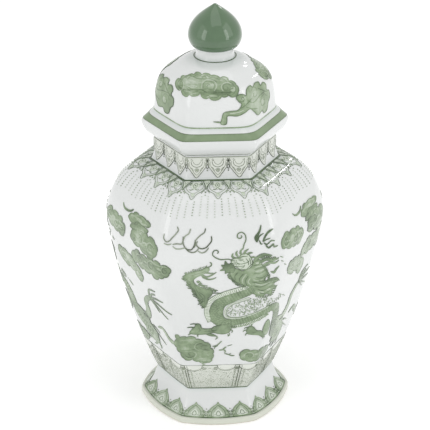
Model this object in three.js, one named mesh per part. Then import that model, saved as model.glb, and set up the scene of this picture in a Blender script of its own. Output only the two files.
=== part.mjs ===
// A six-sided porcelain ginger jar with a lift-off domed lid, in millimetres, +Z up.
// The origin is the centre of the foot on the surface that the jar stands on, and the
// middle of the front face looks along -Y. Each piece is a wall turned about Z, whose
// round section is then drawn in to a hexagon with soft corners.

import * as THREE from "three";

// ---- Driving dimensions. Every radius is measured to a corner of the hexagon. ----

const SIDES = 6;
const STEPS_AROUND = 36;

const FOOT_RING_HEIGHT = 7;
const FOOT_RING_RADIUS = 81.5;
const FOOT_RING_INNER_RADIUS = 70;
const SKIRT_HEIGHT = 27;
const SKIRT_BASE_RADIUS = 78.5;
const WAIST_RADIUS = 63.5;
const SKIRT_WALL = 8;

const FLOOR_THICKNESS = 7;
const BODY_BASE_RADIUS = 66.5;
const BODY_HEIGHT = 243;
const BELLY_RADIUS = 115.5;
const BELLY_HEIGHT = 181;
const SHOULDER_TOP_RADIUS = 68;
const BODY_WALL = 7.5;

const NECK_HEIGHT = 27;
const NECK_RADIUS = 64;
const NECK_FLARE_HEIGHT = 12;
const NECK_BORE_RADIUS = 57.25;

const SEAT_GAP = 0.25;
const RING_CLEARANCE = 1.75;
const RING_DEPTH = 12.5;
const RING_WALL = 5.5;

const FLANGE_HEIGHT = 29.75;
const FLANGE_SEAT_RADIUS = 64.5;
const FLANGE_RADIUS = 77;
const DOME_BASE_RADIUS = 64;
const DOME_HEIGHT = 58;
const DOME_WALL = 6.5;

const COLLAR_RADIUS = 20.5;
const COLLAR_HEIGHT = 10;
const KNOB_RADIUS = 28;
const KNOB_HEIGHT = 46.5;

// How soft a corner is: 0 is a sharp hexagon. How bowed a side is: 1 is a full circle.
const CRISP = { softness: 1 / 60, bow: 0 };
const BELLY = { softness: 1 / 10, bow: 0 };
const DIAPER_LINE = { softness: 1 / 40, bow: 0 };
const WAIST = { softness: 1 / 60, bow: 0.1 };
const FOOT = { softness: 1 / 60, bow: 0.6 };
const FLANGE = { softness: 1 / 80, bow: 0 };
const DOME = { softness: 1 / 12, bow: 0 };
const ROUND = { softness: 1 / 12, bow: 1 };

// ---- Sections and profiles ----

// The section's radius at an angle from the middle of the front face, as a share of
// its radius at a corner.
function sectionShare(angle, { softness, bow }) {
  const sector = (2 * Math.PI) / SIDES;
  let sum = 0;
  for (let side = 0; side < SIDES; side++) {
    sum += Math.max(0, Math.cos(angle - side * sector)) ** (1 / softness);
  }
  const cornerRadius = 1 / (Math.cos(sector / 2) * 2 ** softness);
  return THREE.MathUtils.lerp(sum ** -softness / cornerRadius, 1, bow);
}

function blend(from, to, share) {
  return {
    softness: THREE.MathUtils.lerp(from.softness, to.softness, share),
    bow: THREE.MathUtils.lerp(from.bow, to.bow, share),
  };
}

// One ring of a profile: its corner radius, its height and its section.
function ring(radius, height, section) {
  return { radius, height, section };
}

// Rings along a Bezier curve whose control points are [radius, height] pairs.
function rings(controls, count, from, to) {
  const points = controls.map(([radius, height]) => new THREE.Vector2(radius, height));
  const curve = points.length === 3
    ? new THREE.QuadraticBezierCurve(...points)
    : new THREE.CubicBezierCurve(...points);
  return curve.getPoints(count).map((point, step) =>
    ring(point.x, point.y, blend(from, to, step / count)));
}

// The same rings set in by the thickness of the wall, square to the outer face.
function inset(outer, wall) {
  return outer.map((here, index) => {
    const before = outer[Math.max(0, index - 1)];
    const after = outer[Math.min(outer.length - 1, index + 1)];
    const along = new THREE.Vector2(after.radius - before.radius, after.height - before.height);
    along.normalize();
    return ring(here.radius - along.y * wall, here.height + along.x * wall, here.section);
  });
}

// A closed wall through the rings, which run up the outside and down the inside.
function turned(name, profile, baseHeight, material) {
  const points = profile.map(({ radius, height }) => new THREE.Vector2(radius, height));
  const geometry = new THREE.LatheGeometry(points, STEPS_AROUND);
  const position = geometry.attributes.position;
  for (let index = 0; index < position.count; index++) {
    const { section } = profile[index % profile.length];
    const angle = Math.atan2(position.getX(index), position.getZ(index));
    const share = sectionShare(angle, section);
    position.setX(index, position.getX(index) * share);
    position.setZ(index, position.getZ(index) * share);
  }
  geometry.rotateX(Math.PI / 2);
  geometry.computeVertexNormals();
  const mesh = new THREE.Mesh(geometry, material);
  mesh.name = name;
  mesh.position.z = baseHeight;
  return mesh;
}

function closed(profile) {
  return [...profile, profile[0]];
}

// ---- Finishes ----

function whiteGlaze() {
  return new THREE.MeshStandardMaterial({ color: 0xdfe4e1, roughness: 0.15, metalness: 0 });
}

function greenGlaze() {
  return new THREE.MeshStandardMaterial({ color: 0x6c9268, roughness: 0.15, metalness: 0 });
}

function bareClay() {
  return new THREE.MeshStandardMaterial({ color: 0xe6dfd0, roughness: 0.7, metalness: 0 });
}

// ---- The jar ----

// The plain standing edge, with its arrises eased.
function footRing() {
  const ease = 1.5;
  return turned("foot_ring", closed([
    ring(FOOT_RING_RADIUS - ease, 0, FOOT),
    ring(FOOT_RING_RADIUS, ease, FOOT),
    ring(FOOT_RING_RADIUS, FOOT_RING_HEIGHT - ease, FOOT),
    ring(FOOT_RING_RADIUS - ease, FOOT_RING_HEIGHT, FOOT),
    ring(FOOT_RING_INNER_RADIUS, FOOT_RING_HEIGHT, FOOT),
    ring(FOOT_RING_INNER_RADIUS, 0, FOOT),
  ]), 0, bareClay());
}

// The hollow flare from the standing edge up to the waist.
function footSkirt() {
  const sweep = [
    [SKIRT_BASE_RADIUS, 0],
    [SKIRT_BASE_RADIUS - 9.5, 5],
    [WAIST_RADIUS, SKIRT_HEIGHT],
  ];
  const insideSweep = sweep.map(([radius, height]) => [radius - SKIRT_WALL, height]);
  return turned("foot_skirt", closed([
    ...rings(sweep, 6, FOOT, WAIST),
    ...rings(insideSweep, 3, FOOT, WAIST).reverse(),
  ]), FOOT_RING_HEIGHT, whiteGlaze());
}

// The slab that closes the jar at its waist.
function baseFloor() {
  return turned("base_floor", [
    ring(0, 0, WAIST),
    ring(WAIST_RADIUS, 0, WAIST),
    ring(BODY_BASE_RADIUS, FLOOR_THICKNESS, WAIST),
    ring(0, FLOOR_THICKNESS, WAIST),
  ], FOOT_RING_HEIGHT + SKIRT_HEIGHT, whiteGlaze());
}

// The swelling body: crisp corners at the waist and shoulder, soft ones at the belly.
function bodyWall() {
  const rise = rings([
    [BODY_BASE_RADIUS, 0],
    [BELLY_RADIUS - 16, 78],
    [BELLY_RADIUS, BELLY_HEIGHT - 16],
    [BELLY_RADIUS, BELLY_HEIGHT],
  ], 9, DIAPER_LINE, BELLY);
  const shoulder = rings([
    [BELLY_RADIUS, BELLY_HEIGHT],
    [BELLY_RADIUS, BODY_HEIGHT - 40],
    [BELLY_RADIUS - 14.5, BODY_HEIGHT - 2],
    [SHOULDER_TOP_RADIUS, BODY_HEIGHT],
  ], 8, BELLY, CRISP);
  const outside = [...rise, ...shoulder.slice(1)];
  const everySecond = (_, index) => index % 2 === 0;
  const inside = inset(outside, BODY_WALL).slice(1, -2).filter(everySecond);
  return turned("body_wall", closed([
    ...outside,
    ring(NECK_BORE_RADIUS, BODY_HEIGHT, CRISP),
    ring(NECK_BORE_RADIUS, BODY_HEIGHT - BODY_WALL, CRISP),
    ...inside.reverse(),
    ring(BODY_BASE_RADIUS - BODY_WALL, 0, DIAPER_LINE),
  ]), FOOT_RING_HEIGHT + SKIRT_HEIGHT + FLOOR_THICKNESS, whiteGlaze());
}

// The upright neck, which flares at its foot to meet the shoulder and has an eased rim.
function neckCollar() {
  const ease = 1;
  const flare = [
    [SHOULDER_TOP_RADIUS, 0],
    [NECK_RADIUS + 0.6, NECK_FLARE_HEIGHT / 4],
    [NECK_RADIUS, NECK_FLARE_HEIGHT],
  ];
  return turned("neck_collar", closed([
    ...rings(flare, 4, CRISP, CRISP),
    ring(NECK_RADIUS, NECK_HEIGHT - ease, CRISP),
    ring(NECK_RADIUS - ease, NECK_HEIGHT, CRISP),
    ring(NECK_BORE_RADIUS + ease, NECK_HEIGHT, CRISP),
    ring(NECK_BORE_RADIUS, NECK_HEIGHT - ease, CRISP),
    ring(NECK_BORE_RADIUS, 0, CRISP),
  ]), FOOT_RING_HEIGHT + SKIRT_HEIGHT + FLOOR_THICKNESS + BODY_HEIGHT, whiteGlaze());
}

// ---- The lid. Its heights start at the seat on the rim of the neck. ----

// The ring that drops into the neck and keeps the lid from sliding off.
function locatingRing() {
  const ease = 1;
  const outer = NECK_BORE_RADIUS - RING_CLEARANCE;
  const inner = outer - RING_WALL;
  return turned("lid_locating_ring", closed([
    ring(inner + ease, 0, CRISP),
    ring(outer - ease, 0, CRISP),
    ring(outer, ease, CRISP),
    ring(outer, RING_DEPTH, CRISP),
    ring(inner, RING_DEPTH, CRISP),
    ring(inner, ease, CRISP),
  ]), -RING_DEPTH, whiteGlaze());
}

// The flaring brim: a lip that swells out over the neck, then draws in to the dome.
function lidFlange() {
  const bore = NECK_BORE_RADIUS - RING_CLEARANCE - RING_WALL;
  const lipHeight = 16.5;
  const lip = rings([
    [FLANGE_SEAT_RADIUS, 0],
    [FLANGE_RADIUS - 2, 4],
    [FLANGE_RADIUS, lipHeight],
  ], 5, CRISP, FLANGE);
  const brim = rings([
    [FLANGE_RADIUS - 1, lipHeight + 2],
    [FLANGE_RADIUS - 7, lipHeight + 6.5],
    [DOME_BASE_RADIUS, FLANGE_HEIGHT],
  ], 4, FLANGE, DOME);
  return turned("lid_flange", closed([
    ...lip,
    ...brim,
    ring(DOME_BASE_RADIUS - DOME_WALL, FLANGE_HEIGHT, DOME),
    ring(FLANGE_RADIUS - 11, lipHeight, FLANGE),
    ring(FLANGE_RADIUS - 16, 7, FLANGE),
    ring(bore, 6, CRISP),
    ring(bore, 0, CRISP),
  ]), 0, whiteGlaze());
}

// The dome: upright sides that round over to a low crown under the knob.
function lidDome() {
  const sides = [
    [DOME_BASE_RADIUS, 0],
    [DOME_BASE_RADIUS - 2, 15],
    [DOME_BASE_RADIUS - 2, 38],
    [49, 44],
  ];
  const crown = [
    [49, 44],
    [42, 47.5],
    [36, 55],
    [COLLAR_RADIUS, DOME_HEIGHT],
  ];
  const outside = [
    ...rings(sides, 6, DOME, blend(DOME, ROUND, 0.5)),
    ...rings(crown, 4, blend(DOME, ROUND, 0.5), ROUND).slice(1),
  ];
  const everySecond = (_, index) => index % 2 === 0;
  const inside = inset(outside, DOME_WALL).slice(1, -1).filter(everySecond);
  return turned("lid_dome", [
    ring(0, DOME_HEIGHT - DOME_WALL - 0.5, ROUND),
    ...inside.reverse(),
    ring(DOME_BASE_RADIUS - DOME_WALL, 0, DOME),
    ...outside,
    ring(0, DOME_HEIGHT, ROUND),
  ], FLANGE_HEIGHT, whiteGlaze());
}

// The short round stem between the dome and the knob.
function knobCollar() {
  return turned("knob_collar", [
    ring(0, 0, ROUND),
    ring(COLLAR_RADIUS, 0, ROUND),
    ring(COLLAR_RADIUS - 0.75, COLLAR_HEIGHT / 2, ROUND),
    ring(COLLAR_RADIUS, COLLAR_HEIGHT, ROUND),
    ring(0, COLLAR_HEIGHT, ROUND),
  ], FLANGE_HEIGHT + DOME_HEIGHT, whiteGlaze());
}

// The bud-shaped knob, which comes to a small rounded tip.
function knob() {
  const widest = 12;
  const lower = [
    [COLLAR_RADIUS, 0],
    [KNOB_RADIUS - 1, 2],
    [KNOB_RADIUS, widest],
  ];
  const tipRadius = 2;
  const upper = [
    [KNOB_RADIUS, widest],
    [KNOB_RADIUS, 28],
    [12, 38],
    [tipRadius, KNOB_HEIGHT - 1.3],
  ];
  const tip = [
    [tipRadius, KNOB_HEIGHT - 1.3],
    [tipRadius / 2, KNOB_HEIGHT],
    [0, KNOB_HEIGHT],
  ];
  return turned("knob", [
    ring(0, 0, ROUND),
    ...rings(lower, 4, ROUND, ROUND),
    ...rings(upper, 7, ROUND, ROUND).slice(1),
    ...rings(tip, 2, ROUND, ROUND).slice(1),
  ], FLANGE_HEIGHT + DOME_HEIGHT + COLLAR_HEIGHT, greenGlaze());
}

// ---- Assembly ----

const jar = new THREE.Group();
jar.add(footRing(), footSkirt(), baseFloor(), bodyWall(), neckCollar());

const lid = new THREE.Group();
lid.add(locatingRing(), lidFlange(), lidDome(), knobCollar(), knob());
lid.position.z =
  FOOT_RING_HEIGHT + SKIRT_HEIGHT + FLOOR_THICKNESS + BODY_HEIGHT + NECK_HEIGHT + SEAT_GAP;

const gingerJar = new THREE.Group();
gingerJar.add(jar, lid);

export default gingerJar;
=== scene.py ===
import math

import bpy
import numpy as np
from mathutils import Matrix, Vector
from mathutils.geometry import delaunay_2d_cdt


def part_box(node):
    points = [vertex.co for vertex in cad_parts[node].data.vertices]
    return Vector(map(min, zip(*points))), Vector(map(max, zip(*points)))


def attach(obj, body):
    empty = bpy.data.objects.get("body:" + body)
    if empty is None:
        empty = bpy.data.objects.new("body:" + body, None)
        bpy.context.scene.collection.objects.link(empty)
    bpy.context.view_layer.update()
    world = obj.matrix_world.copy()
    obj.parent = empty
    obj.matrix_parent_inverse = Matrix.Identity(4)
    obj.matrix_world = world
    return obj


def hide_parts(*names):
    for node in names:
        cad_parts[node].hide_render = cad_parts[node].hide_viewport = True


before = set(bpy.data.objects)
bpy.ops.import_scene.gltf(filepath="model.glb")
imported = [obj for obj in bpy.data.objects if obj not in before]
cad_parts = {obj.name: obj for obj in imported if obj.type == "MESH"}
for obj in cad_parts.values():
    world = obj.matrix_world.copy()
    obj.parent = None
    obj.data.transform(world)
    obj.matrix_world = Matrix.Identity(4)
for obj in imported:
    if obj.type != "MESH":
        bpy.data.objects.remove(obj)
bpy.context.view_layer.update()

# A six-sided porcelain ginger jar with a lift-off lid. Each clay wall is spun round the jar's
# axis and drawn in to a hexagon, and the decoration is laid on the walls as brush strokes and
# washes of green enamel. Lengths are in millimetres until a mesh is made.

scene = bpy.context.scene

MM = 0.001
SIDES = 6
SECTOR = 2 * math.pi / SIDES
CREASE = math.radians(35)

# Section of a wall: (how soft its corners are, how far its sides bow out to a circle).
CRISP = (1 / 60, 0.0)
BELLY = (1 / 10, 0.0)
DIAPER_LINE = (1 / 40, 0.0)
WAIST = (1 / 60, 0.1)
FOOT = (1 / 60, 0.6)
FLANGE = (1 / 80, 0.0)
DOME = (1 / 12, 0.0)
HALF_ROUND = (1 / 12, 0.5)
ROUND = (1 / 12, 1.0)

# Heights of enamel above the glaze, coat by coat, and how deep it reaches into it.
FIRST_COAT = 0.12
SECOND_COAT = 0.15
THIRD_COAT = 0.18
LINE_COAT = 0.22
ENAMEL_DEPTH = 0.35
BRISTLE = 1.6
BEAD_PITCH = 2.8

# Walls and rounded arrises.
FOOT_WALL = 8
BODY_WALL = 7.5
LID_WALL = 6.5
RING_WALL = 5.5
ARRIS = 1.5
LIP_HEIGHT = 16.5

chance = np.random.default_rng(7)


def low(node):
    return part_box(node)[0].z / MM


def high(node):
    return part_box(node)[1].z / MM


def corner(node):
    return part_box(node)[1].x / MM


# ---- Clay: the outer face of a wall, and where a brush lands on it ----


def bezier(controls, share):
    points = np.array(controls, float)
    share = np.asarray(share)[:, None]
    while len(points) > 1:
        if points.ndim == 2:
            points = np.repeat(points[:, None, :], len(share), axis=1)
        points = points[:-1] * (1 - share) + points[1:] * share
    return points[0]


def corner_share(angle, softness, bow):
    """Radius of the section at an angle from the front, as a share of its corner radius."""
    sides = np.arange(SIDES) * SECTOR
    facing = np.clip(np.cos(np.asarray(angle)[..., None] - sides), 1e-9, None)
    softness = np.asarray(softness)
    reach = np.sum(facing ** (1 / softness[..., None]), axis=-1) ** -softness
    at_corner = 1 / (math.cos(SECTOR / 2) * 2**softness)
    return reach / at_corner * (1 - bow) + bow


class Clay:
    """The outer face of a wall, from its lower edge to its upper one. A place on it is (across,
    up): across a side from its middle, and up the middle of that side."""

    def __init__(self, *sweeps, steps=40):
        radius, height, softness, bow = [], [], [], []
        for controls, first, last in sweeps:
            share = np.linspace(0, 1, steps + 1)
            if radius:
                share = share[1:]
            points = bezier(controls, share)
            radius.extend(points[:, 0])
            height.extend(points[:, 1])
            softness.extend(first[0] + (last[0] - first[0]) * share)
            bow.extend(first[1] + (last[1] - first[1]) * share)
        self.radius, self.height = np.array(radius), np.array(height)
        self.softness, self.bow = np.array(softness), np.array(bow)
        middle = self.radius * corner_share(np.zeros(len(radius)), self.softness, self.bow)
        self.middle = middle
        rise = np.hypot(np.diff(middle), np.diff(self.height))
        self.up = np.concatenate([[0], np.cumsum(rise)])

    def outline(self):
        return list(zip(self.radius, self.height))

    def inside(self, wall):
        """The wall's inner face, from top to bottom."""
        run, rise = np.gradient(self.radius), np.gradient(self.height)
        length = np.hypot(run, rise)
        points = zip(self.radius - rise / length * wall, self.height + run / length * wall)
        return list(points)[::-1]

    def side_width(self, up):
        return 2 * np.interp(up, self.up, self.middle) * math.tan(SECTOR / 2)

    def reach(self, up):
        """How far up the wall a height lies."""
        return float(np.interp(up, self.height, self.up))

    def surface(self, side, across, up):
        radius = np.interp(up, self.up, self.radius)
        softness = np.interp(up, self.up, self.softness)
        bow = np.interp(up, self.up, self.bow)
        middle = np.interp(up, self.up, self.middle)
        width = 2 * middle * math.tan(SECTOR / 2)
        turned = np.floor(across / width + 0.5)
        angle = np.arctan((across - turned * width) / middle) + (side + turned) * SECTOR
        reach = radius * corner_share(angle, softness, bow)
        height = np.interp(up, self.up, self.height)
        return np.stack([reach * np.sin(angle), -reach * np.cos(angle), height], axis=-1)

    def place(self, side, across, up, lift):
        """Where a lifted brush mark lies, in millimetres."""
        nudge = 0.3
        up = np.clip(up, 0, self.up[-1])
        above = np.clip(up + nudge, 0, self.up[-1])
        below = np.clip(up - nudge, 0, self.up[-1])
        along = self.surface(side, across + nudge, up) - self.surface(side, across - nudge, up)
        rise = self.surface(side, across, above) - self.surface(side, across, below)
        normal = np.cross(along, rise)
        normal /= np.linalg.norm(normal, axis=-1, keepdims=True)
        return self.surface(side, across, up) + normal * lift[:, None]


foot_top = high("foot_skirt")
floor_top = high("base_floor")
shoulder_top = high("body_wall")
belly_radius = corner("body_wall")
belly_height = floor_top + 181
neck_foot_radius = corner("neck_collar")
rim_top = high("neck_collar")
seat = low("lid_flange")
flange_radius = corner("lid_flange")
dome_base = low("lid_dome")
dome_radius = corner("lid_dome")
dome_top = high("lid_dome")
collar_radius = corner("knob_collar")
knob_base = low("knob")
knob_radius = corner("knob")
knob_top = high("knob")
WAIST_RADIUS = 63.5
NECK_RADIUS = 64
BORE_RADIUS = 57.25
SEAT_RADIUS = 64.5

foot_rim_clay = Clay(
    ([(corner("foot_ring"), ARRIS), (corner("foot_ring"), high("foot_ring") - ARRIS)],
     FOOT, FOOT),
    steps=6,
)
skirt_clay = Clay((
    [(corner("foot_skirt"), low("foot_skirt")),
     (corner("foot_skirt") - 9.5, low("foot_skirt") + 5),
     (WAIST_RADIUS, foot_top)],
    FOOT, WAIST,
))
body_clay = Clay(
    ([(WAIST_RADIUS, foot_top), (corner("base_floor"), floor_top)], WAIST, DIAPER_LINE),
    ([(corner("base_floor"), floor_top),
      (belly_radius - 16, floor_top + 78),
      (belly_radius, belly_height - 16),
      (belly_radius, belly_height)], DIAPER_LINE, BELLY),
    ([(belly_radius, belly_height),
      (belly_radius, shoulder_top - 40),
      (belly_radius - 14.5, shoulder_top - 2),
      (neck_foot_radius, shoulder_top)], BELLY, CRISP),
)
neck_clay = Clay(
    ([(neck_foot_radius, shoulder_top), (NECK_RADIUS + 0.6, shoulder_top + 3),
      (NECK_RADIUS, shoulder_top + 12)], CRISP, CRISP),
    ([(NECK_RADIUS, shoulder_top + 12), (NECK_RADIUS, rim_top)], CRISP, CRISP),
    steps=10,
)
flange_clay = Clay(
    ([(SEAT_RADIUS, seat), (flange_radius - 2, seat + 4),
      (flange_radius, seat + LIP_HEIGHT)], CRISP, FLANGE),
    ([(flange_radius, seat + LIP_HEIGHT), (flange_radius - 0.6, seat + LIP_HEIGHT + 3),
      (flange_radius - 5, seat + LIP_HEIGHT + 5.5), (dome_radius, dome_base)], FLANGE, DOME),
)
dome_clay = Clay(
    ([(dome_radius, dome_base), (dome_radius - 2, dome_base + 15),
      (dome_radius - 2, dome_base + 38), (49, dome_base + 44)], DOME, HALF_ROUND),
    ([(49, dome_base + 44), (42, dome_base + 47.5), (36, dome_top - 3),
      (collar_radius, dome_top)], HALF_ROUND, ROUND),
)

# ---- Making meshes ----


def only(obj):
    bpy.ops.object.select_all(action="DESELECT")
    obj.select_set(True)
    bpy.context.view_layer.objects.active = obj


def new_mesh(name, points, edges, faces):
    mesh = bpy.data.meshes.new(name)
    mesh.from_pydata([tuple(p) for p in points], edges, faces)
    obj = bpy.data.objects.new(name, mesh)
    scene.collection.objects.link(obj)
    only(obj)
    return obj


def throw(name, outline, section, steps=240):
    """Spins a closed outline of (radius, height) round the axis, then draws it in to six
    sides. The section is a function of height that gives softness and bow."""
    points = [(radius * MM, 0, height * MM) for radius, height in outline]
    edges = [(index, index + 1) for index in range(len(points) - 1)]
    if outline[0][0] > 0:
        edges.append((len(points) - 1, 0))
    pot = new_mesh(name, points, edges, [])
    bpy.ops.object.mode_set(mode="EDIT")
    bpy.ops.mesh.select_all(action="SELECT")
    bpy.ops.mesh.spin(steps=steps, angle=2 * math.pi, center=(0, 0, 0), axis=(0, 0, 1))
    bpy.ops.mesh.select_all(action="SELECT")
    bpy.ops.mesh.remove_doubles(threshold=0.01 * MM)
    bpy.ops.mesh.normals_make_consistent(inside=False)
    bpy.ops.object.mode_set(mode="OBJECT")
    places = np.empty(len(pot.data.vertices) * 3)
    pot.data.vertices.foreach_get("co", places)
    places = places.reshape(-1, 3)
    angle = np.arctan2(places[:, 0], -places[:, 1])
    softness, bow = section(places[:, 2] / MM)
    places[:, :2] *= corner_share(angle, softness, bow)[:, None]
    pot.data.vertices.foreach_set("co", places.ravel())
    pot.data.update()
    bpy.ops.object.shade_smooth_by_angle(angle=CREASE)
    return pot


def section_of(*walls):
    """The section at any height, read from the walls that a piece is made of."""
    height = np.concatenate([wall.height for wall in walls])
    softness = np.concatenate([wall.softness for wall in walls])
    bow = np.concatenate([wall.bow for wall in walls])
    return lambda at: (np.interp(at, height, softness), np.interp(at, height, bow))


def round_section(at):
    return np.full_like(at, ROUND[0]), np.full_like(at, ROUND[1])


def rounded(centre, ease, start, steps=5):
    """A quarter circle of (radius, height), anticlockwise from an angle in degrees."""
    turn = math.radians(start) + np.linspace(0, math.pi / 2, steps)
    return [(centre[0] + ease * math.cos(a), centre[1] + ease * math.sin(a)) for a in turn]


def settle(obj, body, slot, finish, *nodes):
    """Hands a finished piece to the frame."""
    obj.data.materials.clear()
    obj.data.materials.append(finish)
    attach(obj, body)
    if nodes:
        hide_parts(*nodes)
    return obj


# ---- Brushwork ----


def smooth(points, closed=False, step=1.0):
    """A Catmull-Rom curve through the points, with each place's share of the way along."""
    points = np.array(points, float)
    count = len(points)
    path, knots = [], []
    for span in range(count if closed else count - 1):
        around = [span - 1, span, span + 1, span + 2]
        if closed:
            around = [index % count for index in around]
        before, start, end, after = points[np.clip(around, 0, count - 1)]
        steps = max(2, math.ceil(np.hypot(*(end - start)) / step))
        share = (np.arange(steps) / steps)[:, None]
        path.append(0.5 * (
            2 * start + (end - before) * share
            + (2 * before - 5 * start + 4 * end - after) * share**2
            + (3 * start - before - 3 * end + after) * share**3
        ))
        knots.append(span + share[:, 0])
    if not closed:
        path.append(points[-1:])
        knots.append(np.array([count - 1.0]))
    return np.concatenate(path), np.concatenate(knots)


def directions(path, closed=False):
    """Unit steps along a path, and to the left of it."""
    along = np.gradient(path, axis=0)
    if closed:
        along[0] = along[-1] = along[0] + along[-1]
    along /= np.maximum(np.linalg.norm(along, axis=1, keepdims=True), 1e-9)
    return along, np.stack([-along[:, 1], along[:, 0]], axis=1)


def oval(centre, wide, tall):
    turn = np.arange(8) * math.pi / 4
    return np.stack([np.cos(turn) * wide, np.sin(turn) * tall], axis=1) / 2 + np.array(centre)


def symmetrical(middle, half):
    """Points from left to right about an upright. The half given runs out to the right."""
    return [(middle - x, y) for x, y in half[:0:-1]] + [(middle + x, y) for x, y in half]


def inside_outline(points, outline):
    """Which points lie inside a closed outline, by counting crossings."""
    start, end = outline, np.roll(outline, -1, axis=0)
    x, y = points[:, 0][:, None], points[:, 1][:, None]
    spans = (start[:, 1] > y) != (end[:, 1] > y)
    rise = np.where(end[:, 1] == start[:, 1], 1e-9, end[:, 1] - start[:, 1])
    crossing = start[:, 0] + (y - start[:, 1]) / rise * (end[:, 0] - start[:, 0])
    return np.sum(spans & (x < crossing), axis=1) % 2 == 1


class Painting:
    """Enamel on one wall, gathered stroke by stroke and fired into one piece. Tone runs from 0,
    a pale wash, to 1, a full dark line. Each mark is repeated on the given sides."""

    def __init__(self, clay, sides, fan=None, sill=0.0):
        self.clay, self.sides, self.sill = clay, sides, sill
        self.reference = clay.side_width(fan + sill) if fan is not None else None
        self.places, self.tones, self.faces = [], [], []
        self.count = 0

    def lay(self, points, tones, faces, lift):
        points = np.asarray(points, float)
        across, up = points[:, 0], points[:, 1] + self.sill
        if self.reference:
            across = across * self.clay.side_width(up) / self.reference
        lifts = np.full(len(points), float(lift))
        for side in self.sides:
            self.places.append(self.clay.place(side, across, up, lifts))
            self.tones.append(np.broadcast_to(tones, len(points)))
            self.faces.extend([[index + self.count for index in face] for face in faces])
            self.count += len(points)

    def across_brush(self, width, tone, rim):
        """Places across a brush mark, from edge to edge, and the tone at each."""
        offset = np.linspace(-0.5, 0.5, max(2, math.ceil(width / BRISTLE) + 1))
        return offset, np.clip(tone + rim * (2 * np.abs(offset)) ** 4, 0, 1)

    def stroke(self, points, width, tone=1.0, lift=LINE_COAT, taper=0.3, rim=0.0, closed=False,
               step=1.0):
        """A brush stroke through the points. The width is one number, or one a point. The rim
        darkens its two edges."""
        path, knots = smooth(points, closed, step)
        widths = np.interp(knots, np.arange(len(points)), np.broadcast_to(width, len(points)))
        if closed:
            path = np.vstack([path, path[:1]])
            widths = np.append(widths, widths[0])
        beside = directions(path, closed)[1]
        if not closed:
            travelled = np.concatenate([[0], np.cumsum(np.hypot(*np.diff(path, axis=0).T))])
            ends = np.minimum(travelled, travelled[-1] - travelled)
            drawn = np.sin(np.clip(ends / (widths * 1.2), 0, 1) * math.pi / 2)
            widths = widths * (taper + (1 - taper) * drawn)
        offset, tones = self.across_brush(widths.max(), tone, rim)
        columns = len(offset)
        grid = path[:, None, :] + beside[:, None, :] * (widths[:, None] * offset)[..., None]
        faces = [
            (row * columns + column, row * columns + column + 1,
             (row + 1) * columns + column + 1, (row + 1) * columns + column)
            for row in range(len(path) - 1) for column in range(columns - 1)
        ]
        self.lay(grid.reshape(-1, 2), np.tile(tones, len(path)), faces, lift)

    def wash(self, outline, tone=0.4, lift=FIRST_COAT, grain=2.0, rim=0.0):
        """Fills a closed outline."""
        edge = smooth(outline, True, 1.2)[0]
        least, most = edge.min(axis=0), edge.max(axis=0)
        grid = np.stack(np.meshgrid(
            np.arange(least[0] + grain / 2, most[0], grain),
            np.arange(least[1] + grain / 2, most[1], grain)), axis=-1).reshape(-1, 2)
        if len(grid):
            grid = grid[inside_outline(grid, edge)]
        if len(grid):
            gap = np.linalg.norm(grid[:, None] - edge[None], axis=-1).min(axis=1)
            grid = grid[gap > 0.45 * grain]
        every = [Vector(p) for p in np.vstack([edge, grid])]
        loop = [(index, (index + 1) % len(edge)) for index in range(len(edge))]
        points, _, faces, *_ = delaunay_2d_cdt(every, loop, [], 1, 1e-6)
        points = np.array([tuple(p) for p in points])
        gap = np.linalg.norm(points[:, None] - edge[None], axis=-1).min(axis=1)
        tones = np.clip(tone + rim * np.clip(1 - gap / grain, 0, 1), 0, 1)
        self.lay(points, tones, [face[::-1] for face in faces], lift)

    def shape(self, outline, tone=0.5, line=0.9, edge=0.85, lift=FIRST_COAT, grain=2.0):
        """A washed shape with a line drawn round it."""
        self.wash(outline, tone, lift, grain, rim=0.1)
        self.stroke(outline, line, edge, LINE_COAT, closed=True)

    def dot(self, centre, size, tone=0.8, lift=LINE_COAT, corners=6):
        turn = -np.arange(corners) * 2 * math.pi / corners
        ring = np.stack([np.cos(turn), np.sin(turn)], axis=1) * size / 2
        self.lay(ring + np.array(centre), tone, [tuple(range(corners))], lift)

    def girdle(self, up, width, tone, lift=LINE_COAT, wobble=0.0, rim=0.1):
        """A line right round the wall."""
        total = SIDES * self.clay.side_width(up + self.sill)
        rows = math.ceil(total)
        across = np.arange(rows) / rows * total
        offset, tones = self.across_brush(width, tone, rim)
        columns = len(offset)
        height = up + wobble * np.sin(across * 0.35) + np.outer(offset * width, np.ones(rows))
        height += self.sill
        faces = [
            (row * rows + step, row * rows + (step + 1) % rows,
             (row + 1) * rows + (step + 1) % rows, (row + 1) * rows + step)
            for row in range(columns - 1) for step in range(rows)
        ]
        turn = np.tile(across / total * SIDES, columns)
        flat = height.ravel()
        self.places.append(self.clay.place(0, turn * self.clay.side_width(flat), flat,
                                           np.full(len(flat), float(lift))))
        self.tones.append(np.repeat(tones, rows))
        self.faces.extend([[index + self.count for index in face] for face in faces])
        self.count += len(flat)

    def mirrored(self, centre, points, width, tone=0.8):
        """A line and its mirror image about an upright through the centre."""
        for way in (-1, 1):
            self.stroke([(centre + way * x, y) for x, y in points], width, tone)

    def ticks(self, points, length, gap, width, tone):
        """Short strokes across a path, like the rungs of a ladder."""
        path, _ = smooth(points, step=gap)
        for middle, reach in zip(path, directions(path)[1] * length / 2):
            self.stroke([middle - reach, middle + reach], width, tone, step=2.0)

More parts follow.
